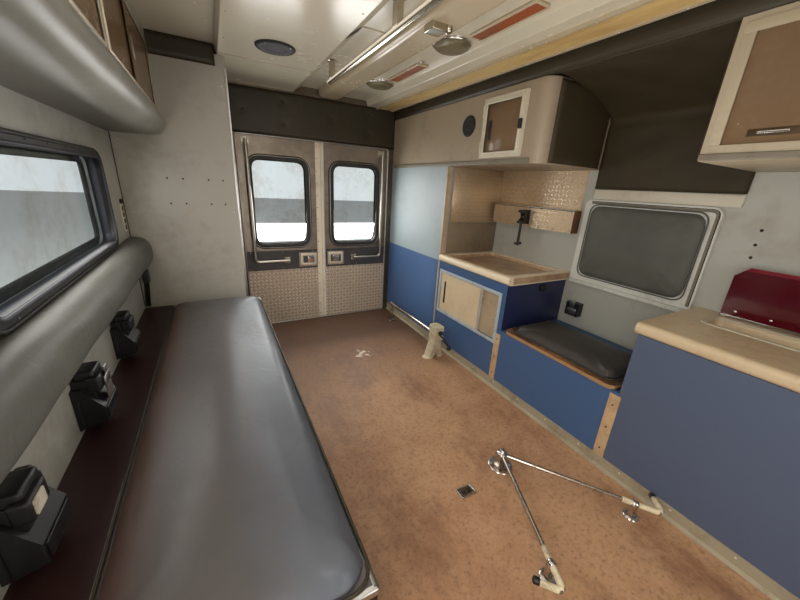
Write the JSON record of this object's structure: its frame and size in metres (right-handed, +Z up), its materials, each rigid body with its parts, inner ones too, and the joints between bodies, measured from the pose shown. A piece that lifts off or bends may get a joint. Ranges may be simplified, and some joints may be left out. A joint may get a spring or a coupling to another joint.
{
  "type": "ambulance patient compartment",
  "caption": "Box-shaped ambulance body with its fitted inside: bench, single seat, counters, cabinets, lamps, rear doors, side entry door and outside hatches.",
  "frame": {"origin": "centre of the whole body's box at the level of the skirts' lower edge", "axes": "+Z up, +Y towards the rear doors, +X towards the street side, where the counters are"},
  "size_m": [2.496, 4.016, 2.275],
  "materials": {
    "mill_aluminium": "bare mill finish, dull",
    "floor_vinyl": "worn red-brown sheet vinyl",
    "white_paint": "white paint, gloss",
    "glass": "tinted safety glass",
    "chrome_fittings": "polished",
    "anodised_trim": "extruded, satin",
    "white_liner": "off-white moulded liner, gloss",
    "lamp_lens": "prismatic lens",
    "stainless": "stainless tube and castings",
    "brown_vinyl": "padded vinyl, dark brown",
    "grey_vinyl": "upholstery vinyl, grey brown",
    "grey_laminate": "light grey laminate",
    "red_laminate": "dark red-brown laminate",
    "birch_board": "board with a worn edge",
    "black_plastic": "moulded, black",
    "smoked_acrylic": "smoked acrylic sheet",
    "blue_laminate": "blue laminate",
    "tread_plate": "raised tread plate",
    "beige_laminate": "beige solid surface with a tray edge",
    "red_acrylic": "dark red acrylic"
  },
  "bodies": {
    "module": {"underframe": "mill_aluminium", "floor_deck": "floor_vinyl", "wheel_housings": "mill_aluminium", "curb_wall": "white_paint", "street_wall": "white_paint", "front_bulkhead": "white_paint", "rear_frame": "white_paint", "roof": "white_paint", "window_rim": "anodised_trim", "window_glass": "glass", "ceiling_liner": "white_liner", "ceiling_trims": "white_liner", "ceiling_lamps": "lamp_lens", "grab_rail": "stainless", "wall_padding": "brown_vinyl", "closet": "grey_laminate", "bench_box": "red_laminate", "bolster": "grey_vinyl", "belt_retractors": "black_plastic", "overhead_cabinet": "grey_laminate", "overhead_nose": "grey_vinyl", "fixed_panes": "smoked_acrylic", "street_liner": "white_liner", "street_locker": "blue_laminate", "upper_rear_cabinet": "grey_laminate", "alcove_pads": "brown_vinyl", "niche_plates": "tread_plate", "pole_clamp": "black_plastic", "rear_counter": "blue_laminate", "rear_counter_top": "beige_laminate", "seat_box": "blue_laminate", "front_counter": "blue_laminate", "front_counter_top": "beige_laminate", "upper_front_cabinet": "grey_laminate", "cot_fittings": "stainless", "outside_lamps": "lamp_lens", "body_trim": "anodised_trim"},
    "curb_rear_door": {"rear_door_curb": "white_paint", "rear_glass_curb": "glass", "rear_fittings_curb": "chrome_fittings"},
    "street_rear_door": {"rear_door_street": "white_paint", "rear_glass_street": "glass", "rear_fittings_street": "chrome_fittings"},
    "side_entry_door": {"entry_door": "white_paint", "entry_glass": "glass"},
    "curb_hatch_leaf": {"curb_hatch": "white_paint"},
    "street_rear_hatch_leaf": {"street_rear_hatch": "white_paint"},
    "street_front_hatch_leaf": {"street_front_hatch": "white_paint"},
    "bench_seat": {"bench_lid": "birch_board", "bench_cushion": "grey_vinyl"},
    "single_seat": {"seat_lid": "birch_board", "seat_cushion": "grey_vinyl"},
    "single_seat_back": {"seat_back": "white_liner", "seat_back_pad": "grey_vinyl"},
    "basin_lid": {"red_lid": "red_acrylic"},
    "small_cabinet_door": {"small_door": "white_liner"},
    "overhead_slider_front": {"overhead_pane_front": "smoked_acrylic"},
    "overhead_slider_rear": {"overhead_pane_rear": "smoked_acrylic"},
    "counter_slider": {"counter_pane": "smoked_acrylic"},
    "upper_slider": {"upper_pane": "smoked_acrylic"}
  },
  "joints": [
    {"name": "rear_door_curb_hinge", "type": "hinge", "parent": "module", "child": "curb_rear_door", "pos_m": [-0.5925, 1.9843, 1.1], "axis": [0, 0, 1], "range_deg": [0, 105]},
    {"name": "rear_door_street_hinge", "type": "hinge", "parent": "module", "child": "street_rear_door", "pos_m": [0.5985, 1.9843, 1.1], "axis": [0, 0, -1], "range_deg": [0, 105]},
    {"name": "entry_door_hinge", "type": "hinge", "parent": "module", "child": "side_entry_door", "pos_m": [-1.2243, -1.3495, 1.1], "axis": [0, 0, 1], "range_deg": [0, 100]},
    {"name": "curb_hatch_hinge", "type": "hinge", "parent": "module", "child": "curb_hatch_leaf", "pos_m": [-1.2243, 1.4805, 1.1], "axis": [0, 0, 1], "range_deg": [0, 100]},
    {"name": "street_rear_hatch_hinge", "type": "hinge", "parent": "module", "child": "street_rear_hatch_leaf", "pos_m": [1.2243, 1.1805, 1.1], "axis": [0, 0, -1], "range_deg": [0, 100]},
    {"name": "street_front_hatch_hinge", "type": "hinge", "parent": "module", "child": "street_front_hatch_leaf", "pos_m": [1.2243, -1.8595, 0.7], "axis": [0, 0, -1], "range_deg": [0, 100]},
    {"name": "bench_lid_hinge", "type": "hinge", "parent": "module", "child": "bench_seat", "pos_m": [-1.0355, 0.5, 0.81], "axis": [0, -1, 0], "range_deg": [0, 65]},
    {"name": "seat_lid_hinge", "type": "hinge", "parent": "module", "child": "single_seat", "pos_m": [1.0287, 0.1, 0.798], "axis": [0, 1, 0], "range_deg": [0, 60]},
    {"name": "seat_back_hinge", "type": "hinge", "parent": "module", "child": "single_seat_back", "pos_m": [1.1234, 0.1, 1.078], "axis": [0, 1, 0], "range_deg": [-88, 0]},
    {"name": "basin_lid_hinge", "type": "hinge", "parent": "module", "child": "basin_lid", "pos_m": [1.085, -0.5, 1.1083], "axis": [0, 1, 0], "range_deg": [-88, 0]},
    {"name": "small_door_hinge", "type": "hinge", "parent": "module", "child": "small_cabinet_door", "pos_m": [0.624, 0.805, 1.875], "axis": [0, 0, -1], "range_deg": [0, 110]},
    {"name": "overhead_slide_front", "type": "slide", "parent": "module", "child": "overhead_slider_front", "axis": [0, -1, 0], "range_m": [0, 0.43]},
    {"name": "overhead_slide_rear", "type": "slide", "parent": "module", "child": "overhead_slider_rear", "axis": [0, -1, 0], "range_m": [0, 0.43]},
    {"name": "counter_slide", "type": "slide", "parent": "module", "child": "counter_slider", "axis": [0, -1, 0], "range_m": [0, 0.148]},
    {"name": "upper_slide", "type": "slide", "parent": "module", "child": "upper_slider", "axis": [0, -1, 0], "range_m": [0, 0.5]}
  ]
}
